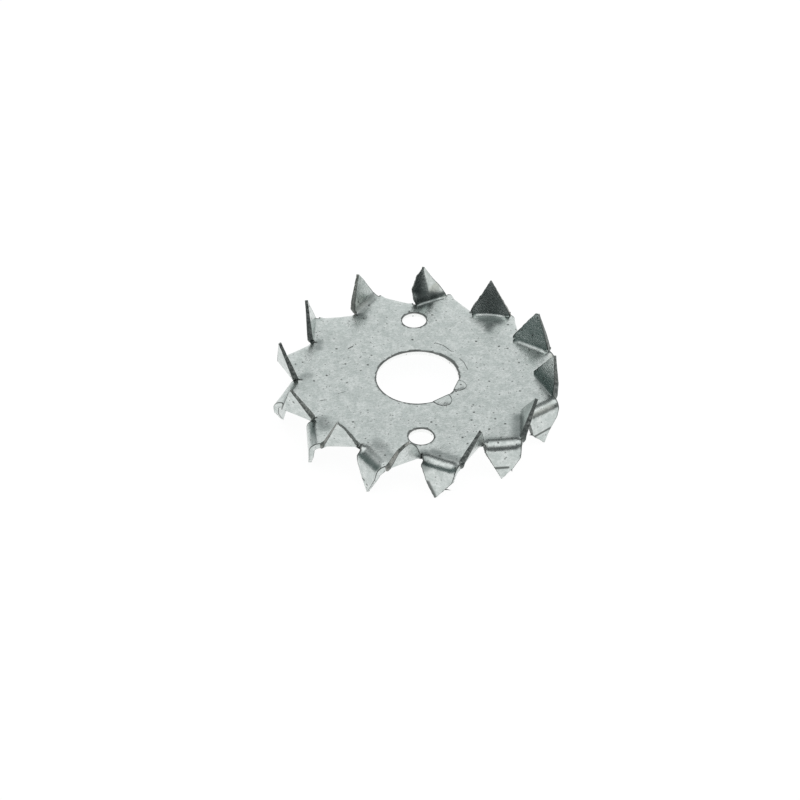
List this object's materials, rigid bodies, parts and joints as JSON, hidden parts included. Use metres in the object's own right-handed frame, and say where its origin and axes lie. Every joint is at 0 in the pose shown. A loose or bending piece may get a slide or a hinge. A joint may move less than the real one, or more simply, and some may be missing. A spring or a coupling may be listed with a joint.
{
  "type": "double-sided timber connector",
  "caption": "Round sheet-steel plate with a bolt hole and teeth folded to both faces; clamped between two bolted timbers, it stops them sliding.",
  "frame": {"origin": "centre of the bolt hole, at the middle of the sheet's thickness", "axes": "+Z along the bolt's axis, +Y through the two nail holes, +X along a slit between two teeth"},
  "size_m": [0.0514, 0.0514, 0.0138],
  "materials": {
    "zinc_coated_steel": "satin"
  },
  "bodies": {
    "root": {"timber_connector": "zinc_coated_steel"}
  },
  "joints": []
}
